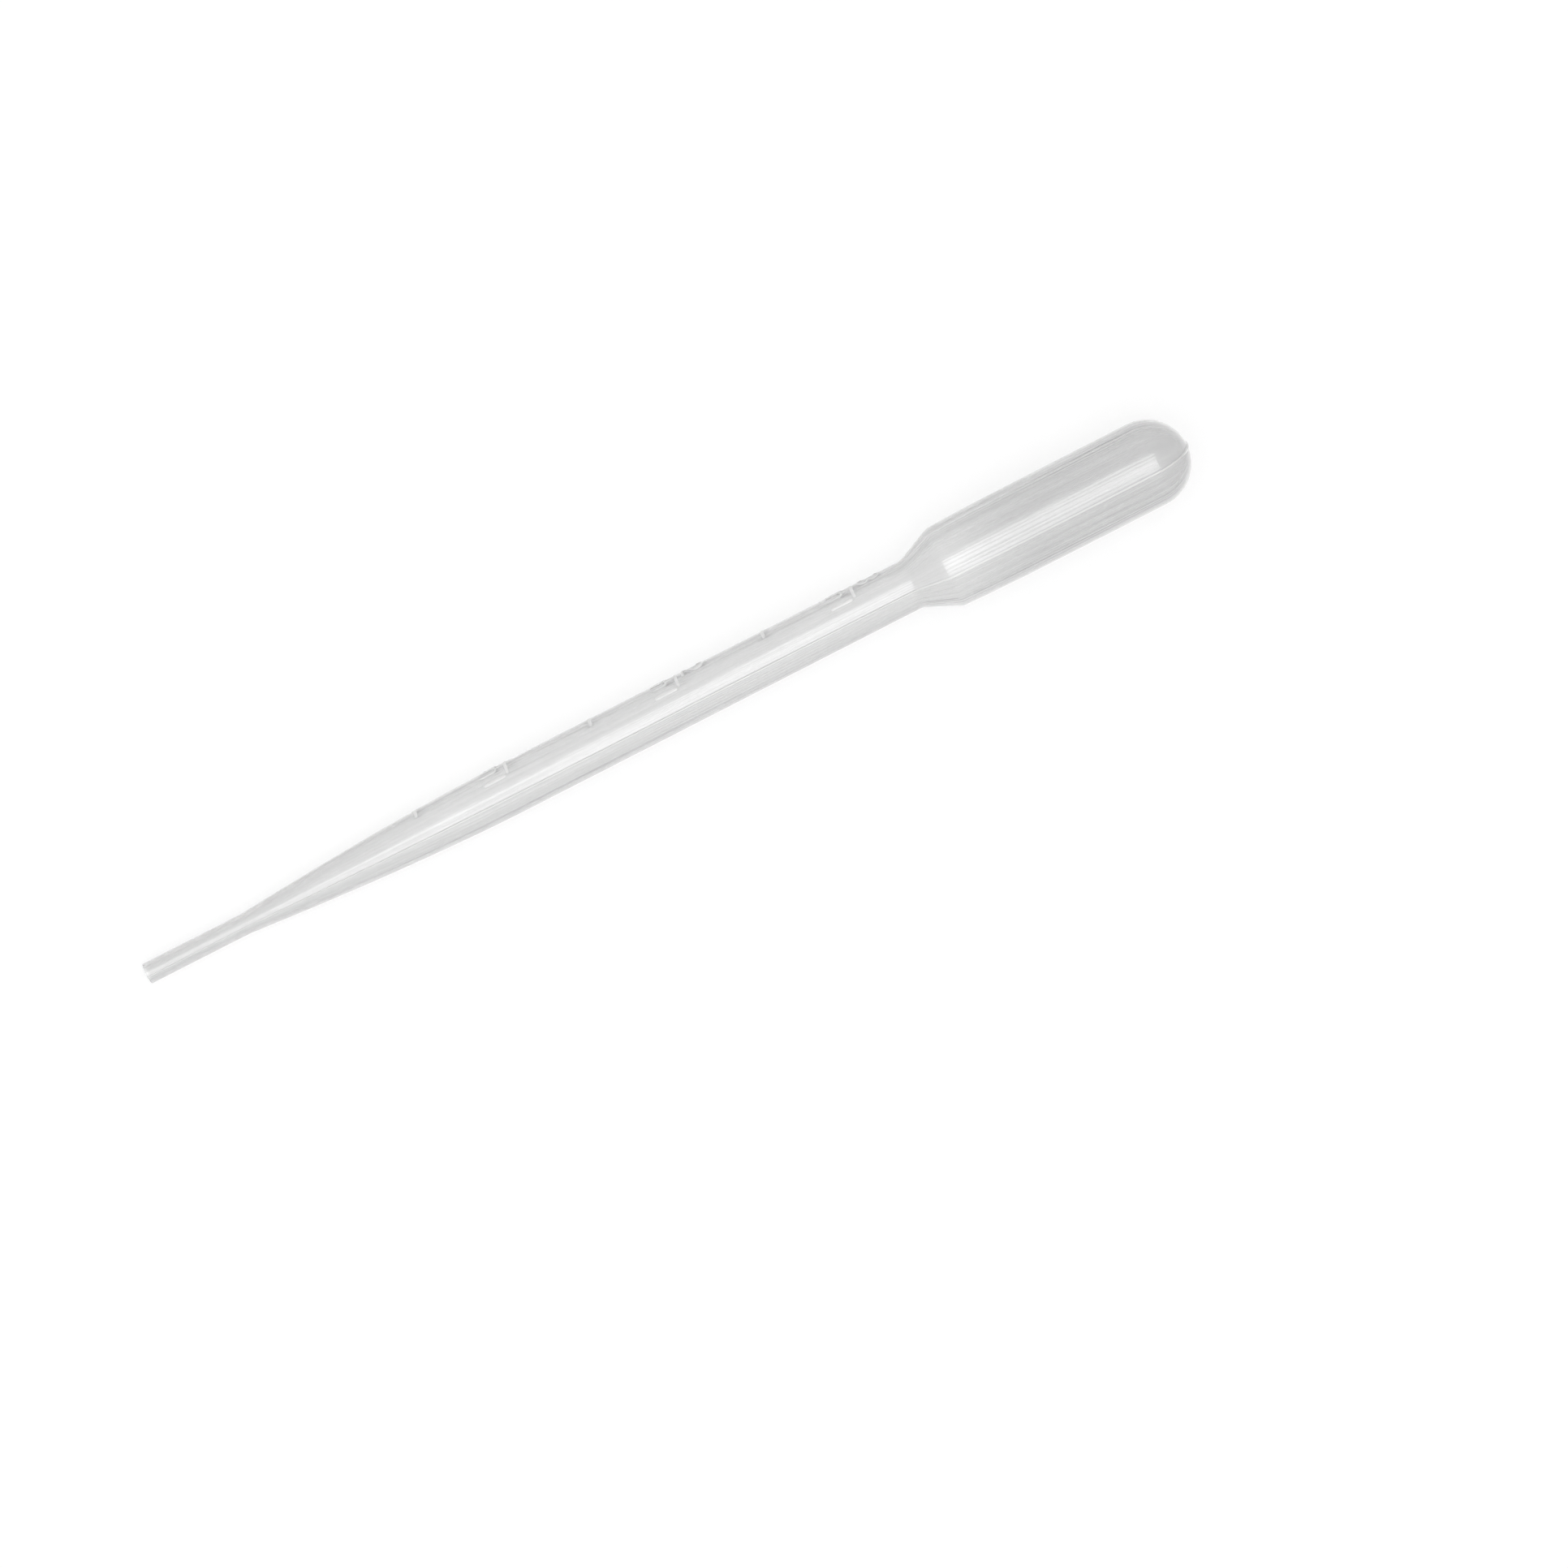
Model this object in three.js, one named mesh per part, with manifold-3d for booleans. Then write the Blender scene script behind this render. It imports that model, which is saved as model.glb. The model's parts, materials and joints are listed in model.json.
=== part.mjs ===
// A dropper pipette, blow-moulded in one piece from natural low-density polyethylene.
// It is one hollow wall: a fine open tip, a long taper, a graduated stem, a shoulder and a
// squeeze bulb. Where the mould's halves met, a low line of flash runs all the way round it
// and thickens over the dome into the weld that closes the bulb. Millimetres, +Z up.
//
// The wall is built standing on its tip: +Y runs from the tip to the bulb, the mould parts
// in the XY plane, and the graduations face +Z. At the end it is laid down to rest.

import * as THREE from "three";
import { mergeVertices } from "three/addons/utils/BufferGeometryUtils.js";
import Module from "manifold-3d";

// Lengths along the axis, in order from the tip. The bulb ends in a half sphere.
const TIP_LENGTH = 15.8;
const TAPER_LENGTH = 43.0;
const STEM_LENGTH = 62.9;
const SHOULDER_LENGTH = 5.3;
const SWELL_LENGTH = 13.3;
const BULB_LENGTH = 18.65;

// The taper leaves the tip at a slope that would reach the stem's width over this length.
const TAPER_RISE = 26.1;

// Outside diameters.
const TIP_DIAMETER = 3.1;
const STEM_DIAMETER = 7.5;
const NECK_DIAMETER = 7.3;
const SHOULDER_DIAMETER = 12.15;
const BULB_DIAMETER = 12.6;

// The wall is thickest at the tip, where the plastic was stretched least.
const TIP_WALL = 0.56;
const STEM_WALL = 0.3;
const BULB_WALL = 0.36;

// Outside radii of the corners where the cone meets the stem and the bulb.
const NECK_FILLET = 3.0;
const SHOULDER_FILLET = 2.4;

// The flash along the parting line, which narrows to its crest, and the weld where the hot
// tube was pinched shut. It is widest on the dome's pole and dies out to both sides of it.
const FLASH_HEIGHT = 0.15;
const FLASH_WIDTH = 0.4;
const CREST_WIDTH = 0.12;
const WELD_HEIGHT = 0.2;
const WELD_WIDTH = 0.7;
const WELD_LENGTH = 10.0;

// Graduations: raised lines with round ends, at each half millilitre of the bore.
const GRADUATION_STEP = 500;
const GRADUATION_COUNT = 6;
const GRADUATION_HEIGHT = 0.12;
const GRADUATION_WIDTH = 0.55;
const WHOLE_LENGTH = 5.0;
const HALF_LENGTH = 3.6;

// Facets: round the axis, along each curved stretch, and round a graduation's end.
const FACETS_ROUND = 40;
const FACETS_ALONG = 6;
const FACETS_END = 4;

// How far a cutting shape runs past the face that it cuts.
const CUT_OVERRUN = 1.0;

// The parting line runs along the middle of a facet. At rest it stands two facets off the
// vertical, so that the pipette lies flat on a facet with its lower flash clear beside it.
const FACET_ANGLE = (2 * Math.PI) / FACETS_ROUND;
const REST_ROLL = 2 * FACET_ANGLE;

// The search for its tilt at rest: how far it goes and how fine it gets.
const MOST_TILT = Math.PI / 6;
const TILT_STEP = 1e-7;

const wasm = await Module();
wasm.setup();

// Heights of the stretches' ends above the tip.
const taperStart = TIP_LENGTH;
const stemStart = taperStart + TAPER_LENGTH;
const neck = stemStart + STEM_LENGTH;
const shoulder = neck + SHOULDER_LENGTH;
const bulbStart = shoulder + SWELL_LENGTH;
const domeStart = bulbStart + BULB_LENGTH;
const pole = domeStart + BULB_DIAMETER / 2;

// Draws the line from the path's end to a corner, rounded there towards the next point.
function roundCorner(path, corner, next, radius) {
  const back = path.currentPoint.clone().sub(corner).normalize();
  const on = next.clone().sub(corner).normalize();
  const setback = radius / Math.tan(back.angleTo(on) / 2);
  const start = corner.clone().addScaledVector(back, setback);
  const end = corner.clone().addScaledVector(on, setback);
  path.lineTo(start.x, start.y);
  path.quadraticCurveTo(corner.x, corner.y, end.x, end.y);
}

// The half section as points of radius and height, from the tip's face to the dome's pole.
// Its depths lie below the outer surface, and a negative depth stands proud of it.
function halfSection(depths) {
  const cone = Math.atan2((SHOULDER_DIAMETER - NECK_DIAMETER) / 2, SHOULDER_LENGTH);
  const shift = Math.tan(cone / 2);
  const tipRadius = TIP_DIAMETER / 2 - depths.tip;
  const stemRadius = STEM_DIAMETER / 2 - depths.stem;
  const neckRadius = NECK_DIAMETER / 2 - depths.stem;
  const shoulderRadius = SHOULDER_DIAMETER / 2 - depths.bulb;
  const bulbRadius = BULB_DIAMETER / 2 - depths.bulb;
  const neckCorner = new THREE.Vector2(neckRadius, neck + depths.stem * shift);
  const shoulderCorner = new THREE.Vector2(shoulderRadius, shoulder + depths.bulb * shift);
  const swell = new THREE.Vector2(bulbRadius, (shoulder + bulbStart) / 2);

  const path = new THREE.Path();
  path.moveTo(tipRadius, 0);
  path.lineTo(tipRadius, taperStart);
  path.quadraticCurveTo(stemRadius, taperStart + TAPER_RISE, stemRadius, stemStart);
  roundCorner(path, neckCorner, shoulderCorner, NECK_FILLET + depths.stem);
  roundCorner(path, shoulderCorner, swell, SHOULDER_FILLET - depths.bulb);
  path.quadraticCurveTo(swell.x, swell.y, bulbRadius, bulbStart);
  path.lineTo(bulbRadius, domeStart);
  path.absarc(0, domeStart, bulbRadius, 0, Math.PI / 2);
  return path.getPoints(FACETS_ALONG);
}

// The same depth all along the section.
function evenDepth(depth) {
  return { tip: depth, stem: depth, bulb: depth };
}

// A closed geometry as a solid that can be joined and cut.
function solidOf(geometry) {
  geometry.deleteAttribute("normal");
  geometry.deleteAttribute("uv");
  const merged = mergeVertices(geometry);
  return new wasm.Manifold(
    new wasm.Mesh({
      numProp: 3,
      vertProperties: merged.attributes.position.array,
      triVerts: new Uint32Array(merged.index.array),
    }),
  );
}

// A half section turned round the axis into a full round, with its flat end at a height of
// its own and its last point exactly on the axis.
function turned(section, endHeight) {
  const centre = new THREE.Vector2(0, endHeight);
  const rim = new THREE.Vector2(section[0].x, endHeight);
  const top = new THREE.Vector2(0, section.at(-1).y);
  const profile = [centre, rim, ...section.slice(1, -1), top];
  return solidOf(new THREE.LatheGeometry(profile, FACETS_ROUND, FACET_ANGLE / 2));
}

// The flash: a plate in the parting plane, of the pipette's own outline and a little larger
// all round, with its edge bevelled down to the wall from both sides.
function flash() {
  const side = halfSection(evenDepth(-FLASH_HEIGHT));
  const otherSide = side.slice(0, -1).reverse().map((p) => new THREE.Vector2(-p.x, p.y));
  const plate = new THREE.ExtrudeGeometry(new THREE.Shape([...side, ...otherSide]), {
    depth: CREST_WIDTH,
    bevelThickness: (FLASH_WIDTH - CREST_WIDTH) / 2,
    bevelSize: FLASH_HEIGHT,
    bevelOffset: -FLASH_HEIGHT,
    bevelSegments: 1,
  });
  return solidOf(plate.translate(0, 0, -CREST_WIDTH / 2));
}

// The weld over the dome: an ellipsoid about the dome's centre, higher than the dome on its
// pole. It dips into the dome where the weld's width and length end.
function pinchWeld() {
  const radius = BULB_DIAMETER / 2;
  const crest = radius + WELD_HEIGHT;
  const halfAxis = (reach) => reach / Math.sqrt(1 - (radius ** 2 - reach ** 2) / crest ** 2);
  const weld = new THREE.SphereGeometry(1, FACETS_ROUND, FACETS_ROUND);
  weld.scale(halfAxis(WELD_LENGTH / 2), crest, halfAxis(WELD_WIDTH / 2));
  return solidOf(weld.translate(0, domeStart, 0));
}

// The height at which the bore, filled from the tip, holds a volume in cubic millimetres.
function heightHolding(volume) {
  const bore = halfSection({ tip: TIP_WALL, stem: STEM_WALL, bulb: BULB_WALL });
  let held = 0;
  for (let i = 1; i < bore.length; i++) {
    const [low, high] = [bore[i - 1], bore[i]];
    const squares = low.x * low.x + low.x * high.x + high.x * high.x;
    const slice = (Math.PI / 3) * (high.y - low.y) * squares;
    if (held + slice >= volume) return low.y + ((high.y - low.y) * (volume - held)) / slice;
    held += slice;
  }
  return pole;
}

// One graduation, cut as the mould was: straight along its opening direction.
function graduation(index) {
  const height = heightHolding(index * GRADUATION_STEP);
  const isWhole = index % 2 === 0;
  const reach = (isWhole ? WHOLE_LENGTH : HALF_LENGTH) / 2 - GRADUATION_WIDTH / 2;
  const bar = new THREE.Shape();
  bar.absarc(reach, height, GRADUATION_WIDTH / 2, -Math.PI / 2, Math.PI / 2);
  bar.absarc(-reach, height, GRADUATION_WIDTH / 2, Math.PI / 2, (3 * Math.PI) / 2);
  return solidOf(
    new THREE.ExtrudeGeometry(bar, {
      depth: BULB_DIAMETER,
      bevelEnabled: false,
      curveSegments: FACETS_END,
    }),
  );
}

// The whole moulding, joined while solid and then hollowed from the tip.
function moulding() {
  const proud = turned(halfSection(evenDepth(-GRADUATION_HEIGHT)), 0);
  let body = turned(halfSection(evenDepth(0)), 0).add(flash()).add(pinchWeld());
  for (let index = 1; index <= GRADUATION_COUNT; index++) {
    body = body.add(graduation(index).intersect(proud));
  }
  const bore = halfSection({ tip: TIP_WALL, stem: STEM_WALL, bulb: BULB_WALL });
  return body.subtract(turned(bore, -CUT_OVERRUN));
}

// A solid back as three.js geometry.
function geometryOf(solid) {
  const { vertProperties, triVerts } = solid.getMesh();
  return new THREE.BufferGeometry()
    .setAttribute("position", new THREE.BufferAttribute(vertProperties, 3))
    .setIndex(new THREE.BufferAttribute(triVerts, 1));
}

// The corners of a mesh's triangles, three by three, where the mesh now stands.
function cornersOf(mesh) {
  mesh.updateWorldMatrix(true, false);
  const { index, attributes } = mesh.geometry;
  return Array.from(index.array, (i) =>
    new THREE.Vector3().fromBufferAttribute(attributes.position, i).applyMatrix4(mesh.matrixWorld),
  );
}

// The mass centre of a closed mesh, from the tetrahedra that its triangles make with the origin.
function massCentre(corners) {
  const centre = new THREE.Vector3();
  let total = 0;
  for (let i = 0; i < corners.length; i += 3) {
    const [a, b, c] = corners.slice(i, i + 3);
    const volume = a.dot(b.clone().cross(c)) / 6;
    const sum = a.clone().add(b).add(c);
    centre.addScaledVector(sum, volume / 4);
    total += volume;
  }
  return centre.divideScalar(total);
}

// The tilt at which a mesh that lies along +X comes to rest. Tipped up less than that, its
// lowest point is ahead of its mass centre, and tipped up more, behind it.
function restTilt(mesh) {
  const corners = cornersOf(mesh);
  const balance = massCentre(corners).x;
  let [low, high] = [0, MOST_TILT];
  while (high - low > TILT_STEP) {
    const tilt = (low + high) / 2;
    const heightOf = (p) => p.z * Math.cos(tilt) + p.x * Math.sin(tilt);
    const foot = corners.reduce((lowest, p) => (heightOf(p) < heightOf(lowest) ? p : lowest));
    if (foot.x > balance) low = tilt;
    else high = tilt;
  }
  return (low + high) / 2;
}

const pipette = new THREE.Mesh(
  geometryOf(moulding()),
  new THREE.MeshStandardMaterial({
    color: 0xdcdfdf,
    roughness: 0.3,
    metalness: 0,
    transparent: true,
    opacity: 0.55,
  }),
);
pipette.name = "pipette";

// Lay it down with the bulb towards +X and the graduations towards +Y, turn it about its
// axis to its rest, and tip it until it lies on the taper's end and on the bulb's shoulder.
pipette.rotation.z = -Math.PI / 2;
const rolled = new THREE.Group().add(pipette);
rolled.rotation.x = REST_ROLL - Math.PI / 2;
const lying = new THREE.Group().add(rolled);
lying.rotation.y = -restTilt(pipette);

// The origin is on the ground, under the middle of the pipette's box.
const box = new THREE.Box3().setFromObject(lying, true);
const middle = box.getCenter(new THREE.Vector3());
lying.position.set(-middle.x, -middle.y, -box.min.z);

export default new THREE.Group().add(lying);
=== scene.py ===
"""A graduated dropper pipette, blow-moulded in one piece, lying at rest on a pale surface."""

import json
import math

import bmesh
import bpy
from mathutils import Matrix, Vector
from mathutils.bvhtree import BVHTree
from mathutils.geometry import interpolate_bezier


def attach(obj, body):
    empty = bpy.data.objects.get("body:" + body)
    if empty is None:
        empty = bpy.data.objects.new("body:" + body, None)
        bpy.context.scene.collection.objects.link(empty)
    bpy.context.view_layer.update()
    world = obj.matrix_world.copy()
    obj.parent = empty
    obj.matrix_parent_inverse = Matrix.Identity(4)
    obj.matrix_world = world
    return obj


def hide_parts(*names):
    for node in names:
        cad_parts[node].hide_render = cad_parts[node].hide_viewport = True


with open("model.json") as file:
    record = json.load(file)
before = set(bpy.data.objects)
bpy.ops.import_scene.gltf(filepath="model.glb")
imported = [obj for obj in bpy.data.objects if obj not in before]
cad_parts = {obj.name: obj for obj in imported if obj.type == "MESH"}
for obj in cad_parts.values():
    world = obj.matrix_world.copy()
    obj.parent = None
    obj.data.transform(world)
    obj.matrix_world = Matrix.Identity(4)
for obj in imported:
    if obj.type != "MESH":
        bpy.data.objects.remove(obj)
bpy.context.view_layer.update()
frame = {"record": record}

# ---------------------------------------------------------------------------------------
# The wall. A hot tube of natural low-density polyethylene is closed in a split mould and
# blown against it, so the pipette is one hollow wall, thickest at the tip. It is built in
# millimetres along +X from the tip to the bulb, with the mould's halves parting at y = 0.

MM_PER_M = 1000

TIP_LENGTH = 15.8
TAPER_LENGTH = 43.0
STEM_LENGTH = 62.9
SHOULDER_LENGTH = 5.3
SWELL_LENGTH = 13.3
BULB_LENGTH = 18.65

TIP_DIAMETER = 3.1
STEM_DIAMETER = 7.5
NECK_DIAMETER = 7.3
SHOULDER_DIAMETER = 12.15
BULB_DIAMETER = 12.6

TIP_WALL = 0.56
STEM_WALL = 0.3
BULB_WALL = 0.36

# The taper leaves the tip in line with it, and curves as if towards a corner this far up.
TAPER_RISE = 26.1
NECK_FILLET = 3.0
SHOULDER_FILLET = 2.4

TAPER_START = TIP_LENGTH
STEM_START = TAPER_START + TAPER_LENGTH
NECK = STEM_START + STEM_LENGTH
SHOULDER = NECK + SHOULDER_LENGTH
BULB_START = SHOULDER + SWELL_LENGTH
DOME_START = BULB_START + BULB_LENGTH

# How finely the wall is faceted, and how close two points lie to be made one.
SIDES = 192
RING_SPACING = 2.5
TAPER_RINGS = 20
BEND_RINGS = 6
DOME_RINGS = 20
CLOSE = 1e-4


def at(height, radius):
    """The point at a height above the tip's face and a distance from the axis."""
    return Vector((height, 0, radius))


def straight(start, end):
    """Points along a straight stretch, without its start, a ring's spacing apart or less."""
    rings = math.ceil((end - start).length / RING_SPACING)
    return [start.lerp(end, ring / rings) for ring in range(1, rings + 1)]


def curved(start, corner, end, rings):
    """Points along a curve that is pulled towards a corner, without its start."""
    pull = 2 / 3
    leaving, arriving = start.lerp(corner, pull), end.lerp(corner, pull)
    return interpolate_bezier(start, leaving, arriving, end, rings + 1)[1:]


def rounded(start, corner, after, radius):
    """Points from the start to a corner that is rounded off towards the point after it."""
    back = (start - corner).normalized()
    on = (after - corner).normalized()
    setback = radius / math.tan(back.angle(on) / 2)
    arrival, departure = corner + back * setback, corner + on * setback
    return straight(start, arrival) + curved(arrival, corner, departure, BEND_RINGS)


def half_section(tip_depth=0, stem_depth=0, bulb_depth=0):
    """The wall's half section from the tip's rim to the pole, at depths below its outside."""
    slope = math.atan2((SHOULDER_DIAMETER - NECK_DIAMETER) / 2, SHOULDER_LENGTH)
    shift = math.tan(slope / 2)
    tip = TIP_DIAMETER / 2 - tip_depth
    stem = STEM_DIAMETER / 2 - stem_depth
    neck = NECK_DIAMETER / 2 - stem_depth
    shoulder = SHOULDER_DIAMETER / 2 - bulb_depth
    bulb = BULB_DIAMETER / 2 - bulb_depth
    taper_corner = at(TAPER_START + TAPER_RISE, stem)
    neck_corner = at(NECK + stem_depth * shift, neck)
    shoulder_corner = at(SHOULDER + bulb_depth * shift, shoulder)
    swell = at((SHOULDER + BULB_START) / 2, bulb)

    section = [at(0, tip)]
    section += straight(section[-1], at(TAPER_START, tip))
    section += curved(section[-1], taper_corner, at(STEM_START, stem), TAPER_RINGS)
    section += rounded(section[-1], neck_corner, shoulder_corner, NECK_FILLET + stem_depth)
    section += rounded(section[-1], shoulder_corner, swell, SHOULDER_FILLET - bulb_depth)
    section += curved(section[-1], swell, at(BULB_START, bulb), BEND_RINGS)
    section += straight(section[-1], at(DOME_START, bulb))
    for ring in range(1, DOME_RINGS + 1):
        angle = math.pi / 2 * ring / DOME_RINGS
        section.append(at(DOME_START + bulb * math.sin(angle), bulb * math.cos(angle)))
    return section


def turned(section):
    """A bmesh of a half section turned round the axis, closed where it meets the axis."""
    bm = bmesh.new()
    points = [bm.verts.new(point) for point in section]
    edges = [bm.edges.new(pair) for pair in zip(points, points[1:])]
    bmesh.ops.spin(
        bm, geom=points + edges, cent=(0, 0, 0), axis=(1, 0, 0), dvec=(0, 0, 0),
        angle=math.tau, steps=SIDES, use_merge=True, use_duplicate=False,
    )
    bmesh.ops.remove_doubles(bm, verts=bm.verts, dist=CLOSE)
    bmesh.ops.recalc_face_normals(bm, faces=bm.faces)
    return bm


def as_object(bm, name):
    """A bmesh as an object of the scene, and the bmesh freed."""
    mesh = bpy.data.meshes.new(name)
    bm.to_mesh(mesh)
    bm.free()
    made = bpy.data.objects.new(name, mesh)
    bpy.context.scene.collection.objects.link(made)
    return made


outside = turned(half_section())
round_wall = BVHTree.FromBMesh(outside)

# ---------------------------------------------------------------------------------------
# The flash line. A little plastic is squeezed out between the mould's halves all the way
# round, so a low sharp ridge runs along both sides and over the dome.

FLASH_HEIGHT = 0.15
FLASH_WIDTH = 0.4
CREST_WIDTH = 0.12

for side in (-FLASH_WIDTH / 2, -CREST_WIDTH / 2, CREST_WIDTH / 2, FLASH_WIDTH / 2):
    bmesh.ops.bisect_plane(
        outside, geom=outside.verts[:] + outside.edges[:] + outside.faces[:],
        dist=CLOSE, plane_co=(0, side, 0), plane_no=(0, 1, 0),
    )
for vert in outside.verts:
    if abs(vert.co.y) < CREST_WIDTH / 2 + CLOSE:
        middle = Vector((min(vert.co.x, DOME_START), 0, 0))
        vert.co += (vert.co - middle).normalized() * FLASH_HEIGHT
rim = [edge for edge in outside.edges if edge.is_boundary]
bmesh.ops.holes_fill(outside, edges=rim, sides=len(rim))
bmesh.ops.recalc_face_normals(outside, faces=outside.faces)
surface = BVHTree.FromBMesh(outside)
wall = as_object(outside, "pipette_moulding")

# ---------------------------------------------------------------------------------------
# The weld. The mould's end closes on the hot tube and welds it shut, which leaves a low
# round ridge over the dome in the parting plane, widest on the pole. It is an ellipsoid
# about the dome's centre that dips into the dome where its width and its length end.

WELD_HEIGHT = 0.2
WELD_WIDTH = 0.7
WELD_LENGTH = 10.0

DOME_RADIUS = BULB_DIAMETER / 2
CREST = DOME_RADIUS + WELD_HEIGHT


def half_axis(reach):
    """The half axis of the ellipsoid that leaves the dome at a distance from its axis."""
    return reach / math.sqrt(1 - (DOME_RADIUS ** 2 - reach ** 2) / CREST ** 2)


stretch = Matrix.Diagonal((CREST, half_axis(WELD_WIDTH / 2), half_axis(WELD_LENGTH / 2), 1))
ridge = bmesh.new()
bmesh.ops.create_uvsphere(
    ridge, u_segments=SIDES, v_segments=SIDES // 2, radius=1,
    matrix=Matrix.Translation((DOME_START, 0, 0)) @ stretch @ Matrix.Rotation(math.pi / 2, 4, "Y"),
)
weld = as_object(ridge, "weld")

# ---------------------------------------------------------------------------------------
# Graduations, numerals and unit. A round cutter engraved them in one half of the mould,
# so on the pipette each stroke is a low rounded bead with round ends. They are laid out
# flat, to the right and up towards the bulb, and each bead is then wrapped on to the wall.

GRADUATION_VOLUME = 500
GRADUATION_COUNT = 6
WHOLE_LENGTH = 5.0
HALF_LENGTH = 3.6
GRADUATION_WIDTH = 0.55

STROKE_WIDTH = 0.4
NUMERAL_HEIGHT = 3.3
NUMERAL_RISE = 1.1
UNIT_DROP = 3.7

MARK_HEIGHT = 0.12
STROKE_STEP = 0.25
CAP_RINGS = 3
BEAD_SIDES = 12


def height_holding(volume):
    """The height to which the bore, filled from the tip, holds a volume in cubic millimetres."""
    bore_section = half_section(TIP_WALL, STEM_WALL, BULB_WALL)
    held = 0
    for low, high in zip(bore_section, bore_section[1:]):
        squares = low.z * low.z + low.z * high.z + high.z * high.z
        more = math.pi / 3 * (high.x - low.x) * squares
        if held + more >= volume:
            return low.x + (high.x - low.x) * (volume - held) / more
        held += more


def strokes_between(*corners):
    """Points along straight strokes from each corner to the next."""
    points = [Vector(corners[0]).to_3d()]
    for corner in corners[1:]:
        start, end = points[-1], Vector(corner).to_3d()
        steps = math.ceil((end - start).length / STROKE_STEP)
        points += [start.lerp(end, step / steps) for step in range(1, steps + 1)]
    return points


def stroke_round(x, y, radius, start, end):
    """Points along an arc about a centre, between two angles in degrees."""
    sweep = math.radians(end - start)
    steps = math.ceil(abs(sweep) * radius / STROKE_STEP)
    angles = [math.radians(start) + sweep * step / steps for step in range(steps + 1)]
    return [Vector((x + radius * math.cos(a), y + radius * math.sin(a), 0)) for a in angles]


def bead_along(points, width):
    """A closed bmesh of a bead along the points, as wide as the cutter, as high as a mark."""
    cutter = width / 2
    ahead = (points[-1] - points[-2]).normalized()
    behind = (points[0] - points[1]).normalized()
    rings = [(point, 1) for point in points]
    for ring in range(1, CAP_RINGS + 1):
        angle = math.pi / 2 * ring / CAP_RINGS
        size = max(math.cos(angle), CLOSE)
        rings.append((points[-1] + ahead * cutter * math.sin(angle), size))
        rings.insert(0, (points[0] + behind * cutter * math.sin(angle), size))

    curve = bpy.data.curves.new("stroke", "CURVE")
    curve.dimensions = "3D"
    curve.bevel_depth = cutter
    curve.bevel_resolution = BEAD_SIDES // 4 - 1
    curve.use_fill_caps = True
    spline = curve.splines.new("POLY")
    spline.points.add(len(rings) - 1)
    for spline_point, (point, size) in zip(spline.points, rings):
        spline_point.co = point.to_4d()
        spline_point.radius = size
    rod = bpy.data.objects.new("stroke", curve)
    bead = bmesh.new()
    bead.from_mesh(bpy.data.meshes.new_from_object(rod))
    bmesh.ops.remove_doubles(bead, verts=bead.verts, dist=CLOSE)
    bmesh.ops.scale(bead, vec=(1, 1, MARK_HEIGHT / cutter), verts=bead.verts)
    return bead


def numeral(value):
    """The strokes of a numeral, upright, with the middle of its foot at zero."""
    if value == 1:
        flag, top, foot = (-0.8, NUMERAL_HEIGHT - 0.75), (0, NUMERAL_HEIGHT), (0, 0)
        return [strokes_between(flag, top, foot)]
    if value == 2:
        bowl, bowl_start, bowl_end = 1, 170, -48
        neck, heel, toe = (0.67, 1.56), (-1.05, 0), (1.1, 0)
        return [
            stroke_round(0, NUMERAL_HEIGHT - bowl, bowl, bowl_start, bowl_end),
            strokes_between(neck, heel, toe),
        ]
    upper, lower, mouth, waist = 0.78, 0.87, 160, 83
    return [
        stroke_round(0, NUMERAL_HEIGHT - upper, upper, mouth, -waist),
        stroke_round(0, lower, lower, waist, -mouth),
    ]


def unit():
    """The strokes of the letters m and l, upright, with their feet at zero."""
    leg, arch, spring = 1.575, 0.625, 150
    l_place, l_height = 2.5, 3.1
    strokes = [strokes_between((-2 * arch, 0), (-2 * arch, leg + arch))]
    for middle in (-arch, arch):
        bend = stroke_round(middle, leg, arch, spring, 0)
        down = strokes_between((middle + arch, leg), (middle + arch, 0))
        strokes.append(bend + down[1:])
    strokes.append(strokes_between((l_place, 0), (l_place, l_height)))
    return strokes


marks = []
for index in range(1, GRADUATION_COUNT + 1):
    graduation = height_holding(index * GRADUATION_VOLUME)
    is_whole = index % 2 == 0
    reach = ((WHOLE_LENGTH if is_whole else HALF_LENGTH) - GRADUATION_WIDTH) / 2
    beads = [(bead_along(strokes_between((-reach, 0), (reach, 0)), GRADUATION_WIDTH), 0)]
    if is_whole:
        for stroke in numeral(index // 2):
            beads.append((bead_along(stroke, STROKE_WIDTH), NUMERAL_RISE))
        for stroke in unit():
            beads.append((bead_along(stroke, STROKE_WIDTH), -UNIT_DROP))
    for bead, shift in beads:
        for vert in bead.verts:
            right, up, proud_by = vert.co
            front = Vector((graduation + shift + up, BULB_DIAMETER, right))
            on_wall = surface.ray_cast(front, Vector((0, -1, 0)))[0]
            vert.co = on_wall + Vector((0, on_wall.y, on_wall.z)).normalized() * proud_by
        bmesh.ops.recalc_face_normals(bead, faces=bead.faces)
        marks.append(as_object(bead, "mark"))

# ---------------------------------------------------------------------------------------
# The one moulding. The weld and the marks are the same plastic as the wall, so all of
# them are joined, and then hollowed by the bore, which is open at the tip.

BORE_OVERRUN = 1.0

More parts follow.
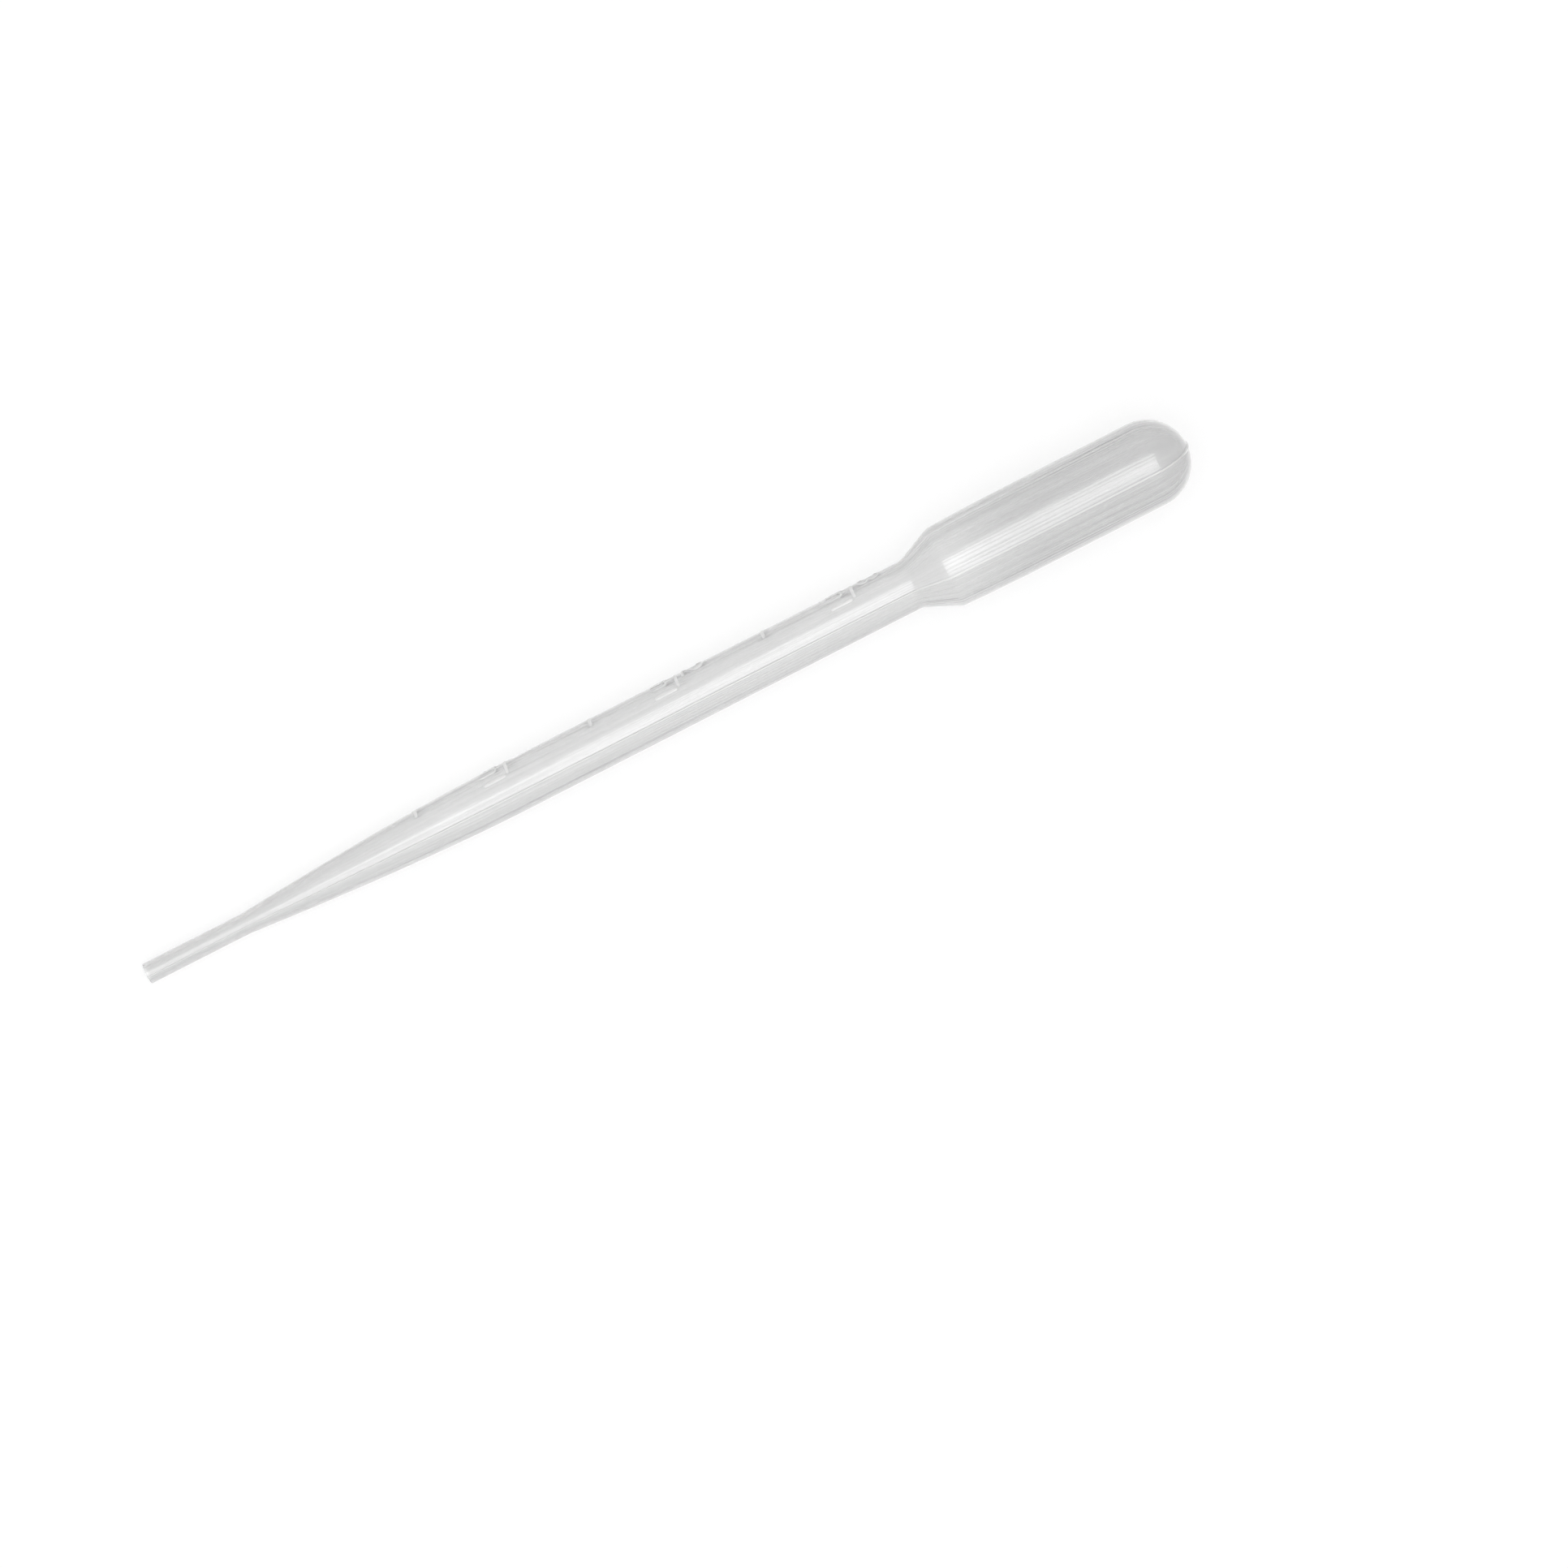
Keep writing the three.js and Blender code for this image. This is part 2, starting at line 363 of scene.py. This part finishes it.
overrun = [at(-BORE_OVERRUN, 0), at(-BORE_OVERRUN, TIP_DIAMETER / 2 - TIP_WALL)]
bore = as_object(turned(overrun + half_section(TIP_WALL, STEM_WALL, BULB_WALL)), "bore")
for tool in (weld, *marks, bore):
    join = wall.modifiers.new(tool.name, "BOOLEAN")
    join.object = tool
    join.operation = "DIFFERENCE" if tool == bore else "UNION"
    join.solver = "MANIFOLD"
depsgraph = bpy.context.evaluated_depsgraph_get()
joined = bpy.data.meshes.new_from_object(wall.evaluated_get(depsgraph))
wall.modifiers.clear()
wall.data = joined
for tool in (weld, *marks, bore):
    bpy.data.objects.remove(tool)

# Each point keeps how far it stands proud of the round wall, in marks' heights, for the
# material of the flash line, the weld and the marks.
proud = joined.attributes.new("proud", "FLOAT", "POINT")
for vert, height in zip(joined.vertices, proud.data):
    nearest, normal = round_wall.find_nearest(vert.co)[:2]
    height.value = max((vert.co - nearest).dot(normal), 0) / MARK_HEIGHT

# It lies on the bulb's shoulder and the top of the taper, rolled so that the flash is
# clear of the ground. The face of its tip gives its tilt and its place.
ROLL = math.radians(18)
SHARP = math.radians(60)

tip_end = frame["record"]["mounts"][0]
out = Vector(tip_end["axis"])
tilt = math.atan2(-out.z, -out.x)
turn = Matrix.Rotation(-tilt, 4, "Y") @ Matrix.Rotation(ROLL, 4, "X")
tip_ring = turn @ Vector((0, 0, (TIP_DIAMETER - TIP_WALL) / 2 / MM_PER_M))
place = Matrix.Translation(Vector(tip_end["pos_m"]) - tip_ring)
joined.transform(place @ turn @ Matrix.Scale(1 / MM_PER_M, 4))
joined.shade_smooth()
joined.set_sharp_from_angle(angle=SHARP)

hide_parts("pipette")
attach(wall, "root")

# Natural low-density polyethylene, blow-moulded. It has no pigment, so it is clear but
# milky: light passes, and what lies behind is blurred. The skin that lay against the
# polished mould is glossy, and the wall is streaked lengthwise where the hot tube was drawn.

LDPE_IOR = 1.51
SKIN_ROUGHNESS = 0.06
# At a slant the milky wall looks whiter, which the sheen gives.
SLANT_MILKINESS = 0.8


def linear(colour):
    """A hex colour as the linear values that a shader takes."""
    levels = [int(colour[i:i + 2], 16) / 255 for i in (1, 3, 5)]
    return [v / 12.92 if v <= 0.04045 else ((v + 0.055) / 1.055) ** 2.4 for v in levels] + [1]


def add_node(tree, kind, inputs=(), **settings):
    """A node of a kind, with its settings, and its inputs given as values or as links."""
    node = tree.nodes.new(kind)
    for name, value in settings.items():
        setattr(node, name, value)
    for name, value in dict(inputs).items():
        if isinstance(value, bpy.types.NodeSocket):
            tree.links.new(value, node.inputs[name])
        else:
            node.inputs[name].default_value = value
    return node


ldpe = bpy.data.materials.new("natural_ldpe_blow_moulded")
ldpe.use_nodes = True
tree = ldpe.node_tree
shader = tree.nodes["Principled BSDF"]
shader.inputs["IOR"].default_value = LDPE_IOR
shader.inputs["Coat Weight"].default_value = 1.0
shader.inputs["Coat Roughness"].default_value = SKIN_ROUGHNESS
shader.inputs["Coat IOR"].default_value = LDPE_IOR
shader.inputs["Sheen Weight"].default_value = SLANT_MILKINESS

# Places on the wall are read along the axis and by direction round it, so that a streak
# keeps its width in degrees and narrows with the wall, as it does when the tube is blown.
# The tip's face is at zero along the axis, and the parting plane at zero across it.
STREAK_LENGTH = 33.0
STREAKS_ROUND = 7
local = add_node(tree, "ShaderNodeMapping", {
    "Vector": add_node(tree, "ShaderNodeTexCoord").outputs["Object"],
    "Location": place.translation, "Rotation": turn.to_euler(),
}, vector_type="TEXTURE")
axes = add_node(tree, "ShaderNodeSeparateXYZ", {0: local.outputs[0]}).outputs
across = add_node(tree, "ShaderNodeCombineXYZ", {"Y": axes["Y"], "Z": axes["Z"]})
around = add_node(tree, "ShaderNodeVectorMath", {0: across.outputs[0]}, operation="NORMALIZE")
along = add_node(tree, "ShaderNodeMath", {
    0: axes["X"], 1: MM_PER_M / STREAK_LENGTH,
}, operation="MULTIPLY")
drawn = add_node(tree, "ShaderNodeCombineXYZ", {"X": along.outputs[0]})
streak_place = add_node(tree, "ShaderNodeVectorMath", {
    0: around.outputs[0], 1: (STREAKS_ROUND,) * 3, 2: drawn.outputs[0],
}, operation="MULTIPLY_ADD")
streaks = add_node(tree, "ShaderNodeTexNoise", {
    "Vector": streak_place.outputs[0], "Scale": 1, "Detail": 2,
}).outputs["Fac"]

# The lip of the die draws a few fine lines along the whole tube. They show only in the
# gloss of the skin, with a little of the streaks.
DIE_LINE_LENGTH = 120.0
DIE_LINES_ROUND = 17
DIE_LINE_DEPTH = 0.6
DIE_LINE_EDGES = (0.5, 0.62)
STREAK_SHARE = 0.4
die_drawn = add_node(tree, "ShaderNodeVectorMath", {
    0: drawn.outputs[0], "Scale": STREAK_LENGTH / DIE_LINE_LENGTH,
}, operation="SCALE")
die_place = add_node(tree, "ShaderNodeVectorMath", {
    0: around.outputs[0], 1: (DIE_LINES_ROUND,) * 3, 2: die_drawn.outputs[0],
}, operation="MULTIPLY_ADD")
die_marks = add_node(tree, "ShaderNodeTexNoise", {
    "Vector": die_place.outputs[0], "Scale": 1, "Detail": 1,
}).outputs["Fac"]
die_lines = add_node(tree, "ShaderNodeMapRange", {
    "Value": die_marks, "From Min": DIE_LINE_EDGES[0], "From Max": DIE_LINE_EDGES[1],
    "To Min": 0, "To Max": DIE_LINE_DEPTH,
})
skin = add_node(tree, "ShaderNodeMath", {
    0: streaks, 1: STREAK_SHARE, 2: die_lines.outputs[0],
}, operation="MULTIPLY_ADD")


def along_wall(start, end, first, last):
    """A number that changes evenly between two heights on the pipette, and is flat beyond."""
    return add_node(tree, "ShaderNodeMapRange", {
        "Value": axes["X"], "From Min": start / MM_PER_M, "From Max": end / MM_PER_M,
        "To Min": first, "To Max": last,
    })


# The wider the wall, the deeper the streaks: deepest on the bulb, less on the stem and
# least at the tip. Over the dome, where the tube is stretched both ways, they fade, and
# the face where the tip is cut has none.
STREAK_DEPTH = 0.12
TIP_SHARE = 0.35
STEM_SHARE = 0.6
DOME_SHARE = 0.25
DOME_FADE = (DOME_START - 2, DOME_START + 5)
CUT_FADE = (0, 0.05)
depth = along_wall(*CUT_FADE, 0, 1)
for change in (
    along_wall(0, STEM_START, TIP_SHARE, 1),
    along_wall(NECK, BULB_START, STEM_SHARE, 1),
    along_wall(*DOME_FADE, 1, DOME_SHARE),
):
    depth = add_node(tree, "ShaderNodeMath", {
        0: depth.outputs[0], 1: change.outputs[0],
    }, operation="MULTIPLY")
for height, normal in ((streaks, "Normal"), (skin.outputs[0], "Coat Normal")):
    bump = add_node(tree, "ShaderNodeBump", {
        "Height": height, "Strength": depth.outputs[0], "Distance": STREAK_DEPTH / MM_PER_M,
    })
    tree.links.new(bump.outputs[0], shader.inputs[normal])

# What lies behind is blurred a little more through one streak than through the next.
HAZE = (0.18, 0.28)
haze = add_node(tree, "ShaderNodeMapRange", {
    "Value": streaks, "To Min": HAZE[0], "To Max": HAZE[1],
})
tree.links.new(haze.outputs[0], shader.inputs["Roughness"])

# The flash line, the weld and the raised marks are thicker than the wall around them, so
# they are milkier, and at their milkiest from a share of a mark's height up.
CLEAR_SHARE = 0.8
PROUD_CLEAR_SHARE = 0.5
MILKIEST_FROM = 0.6
clear = add_node(tree, "ShaderNodeMapRange", {
    "Value": add_node(tree, "ShaderNodeAttribute", attribute_name="proud").outputs["Fac"],
    "From Max": MILKIEST_FROM, "To Min": CLEAR_SHARE, "To Max": PROUD_CLEAR_SHARE,
})
tree.links.new(clear.outputs[0], shader.inputs["Transmission Weight"])

# The more plastic light passes, the greyer it gets: at the tip and in the thicker streaks.
# The bulb's grey is partly its slightly thicker wall and partly painted shade, which keeps it
# darker than the stem.
THIN_WALL = "#fdfdfd"
THICK_WALL_AND_SHADE = "#efefef"
TIP_TINT = 0.75
STREAK_TINT = 0.5
STREAK_EDGES = (0.3, 0.7)
tip_tint = along_wall(0, STEM_START, TIP_TINT, 0)
# Painted shade: from the shoulder on, the bulb is made greyer than its slightly thicker wall alone
# would make it.
bulb_tint_and_shade = along_wall(SHOULDER, BULB_START, 0, 1)
wall_tint_and_shade = add_node(tree, "ShaderNodeMath", {
    0: tip_tint.outputs[0], 1: bulb_tint_and_shade.outputs[0],
}, operation="ADD")
streak_tint = add_node(tree, "ShaderNodeMapRange", {
    "Value": streaks, "From Min": STREAK_EDGES[0], "From Max": STREAK_EDGES[1],
    "To Min": -STREAK_TINT, "To Max": STREAK_TINT,
})
tint = add_node(tree, "ShaderNodeMath", {
    0: streak_tint.outputs[0], 1: depth.outputs[0], 2: wall_tint_and_shade.outputs[0],
}, operation="MULTIPLY_ADD", use_clamp=True)
colour = add_node(tree, "ShaderNodeMix", {
    0: tint.outputs[0], 6: linear(THIN_WALL), 7: linear(THICK_WALL_AND_SHADE),
}, data_type="RGBA")
tree.links.new(colour.outputs[2], shader.inputs["Base Color"])
joined.materials.clear()
joined.materials.append(ldpe)

# ---------------------------------------------------------------------------------------
# The table. It is white paper, which shows as plain white to the camera and through the
# plastic: there it glows, and its own white is lowered by about as much, so that it keeps
# the pipette's shadow and throws no more light on the pipette.

TABLE_SIZE = 6.0
PAPER_WHITE = 0.95
GLOW_FOR_WHITE = 0.9
SEEN_GLOW = 0.75
THROUGH_GLOW = 1.0

sheet = bmesh.new()
bmesh.ops.create_grid(sheet, x_segments=1, y_segments=1, size=TABLE_SIZE / 2)
table = as_object(sheet, "table")
paper = bpy.data.materials.new("white_paper")
paper.use_nodes = True
tree = paper.node_tree
tree.nodes.remove(tree.nodes["Principled BSDF"])
rays = add_node(tree, "ShaderNodeLightPath").outputs
seen = add_node(tree, "ShaderNodeMath", {
    0: rays["Is Camera Ray"], 1: SEEN_GLOW,
}, operation="MULTIPLY")
through = add_node(tree, "ShaderNodeMath", {
    0: rays["Is Glossy Ray"], 1: rays["Is Transmission Ray"],
}, operation="MAXIMUM")
lift = add_node(tree, "ShaderNodeMath", {
    0: through.outputs[0], 1: THROUGH_GLOW, 2: seen.outputs[0],
}, operation="MULTIPLY_ADD")
white = add_node(tree, "ShaderNodeMath", {
    0: lift.outputs[0], 1: -GLOW_FOR_WHITE, 2: PAPER_WHITE,
}, operation="MULTIPLY_ADD")
glow = add_node(tree, "ShaderNodeEmission", {"Color": (1, 1, 1, 1), "Strength": lift.outputs[0]})
diffuse = add_node(tree, "ShaderNodeBsdfDiffuse", {"Color": white.outputs[0]})
both = add_node(tree, "ShaderNodeAddShader", {0: diffuse.outputs[0], 1: glow.outputs[0]})
tree.links.new(both.outputs[0], tree.nodes["Material Output"].inputs["Surface"])
table.data.materials.append(paper)

# ---------------------------------------------------------------------------------------
# The room and the light. The room is white where it is seen, and dimmer as a light. One
# large softbox hangs overhead. Together they show a colour about as it is written.

WORLD_LEVEL = 0.6314
SOFTBOX_LENGTH = 1.1
SOFTBOX_WIDTH = 0.84
SOFTBOX_PLACE = (-0.05, -0.15, 1.0)
SOFTBOX_RADIANCE = 1.7

world = bpy.data.worlds.new("room")
bpy.context.scene.world = world
world.use_nodes = True
tree = world.node_tree
rays = add_node(tree, "ShaderNodeLightPath").outputs
seen = rays["Is Camera Ray"]
for ray in ("Is Glossy Ray", "Is Transmission Ray"):
    either = add_node(tree, "ShaderNodeMath", {0: seen, 1: rays[ray]}, operation="MAXIMUM")
    seen = either.outputs[0]
level = add_node(tree, "ShaderNodeMapRange", {
    "Value": seen, "To Min": WORLD_LEVEL, "To Max": 1.0,
})
tree.links.new(level.outputs[0], tree.nodes["Background"].inputs["Strength"])
tree.nodes["Background"].inputs["Color"].default_value = (1, 1, 1, 1)

light = bpy.data.lights.new("softbox", "AREA")
light.shape = "RECTANGLE"
light.size = SOFTBOX_LENGTH
light.size_y = SOFTBOX_WIDTH
light.energy = SOFTBOX_RADIANCE * math.pi * SOFTBOX_LENGTH * SOFTBOX_WIDTH
softbox = bpy.data.objects.new("softbox", light)
softbox.location = SOFTBOX_PLACE
softbox.visible_camera = False
bpy.context.scene.collection.objects.link(softbox)

# ---------------------------------------------------------------------------------------
# The camera. It looks straight down and is turned so that the pipette rises to the right,
# with its middle off the middle of the view by these shares of the view's width.

VIEW_WIDTH = 0.2215
LENS = 135
RISE = math.radians(26.98)
OFFSET_RIGHT = -0.0755
OFFSET_UP = 0.0477

eye = bpy.data.cameras.new("camera")
eye.lens = LENS
distance = LENS / eye.sensor_width * VIEW_WIDTH
height = distance + BULB_DIAMETER / 2 / MM_PER_M
stand = Vector((-OFFSET_RIGHT * VIEW_WIDTH, -OFFSET_UP * VIEW_WIDTH, height))
camera = bpy.data.objects.new("camera", eye)
camera.location = Matrix.Rotation(-RISE, 4, "Z") @ stand
camera.rotation_euler = (0, 0, -RISE)
bpy.context.scene.collection.objects.link(camera)
bpy.context.scene.camera = camera

bpy.context.scene.view_settings.view_transform = "Standard"
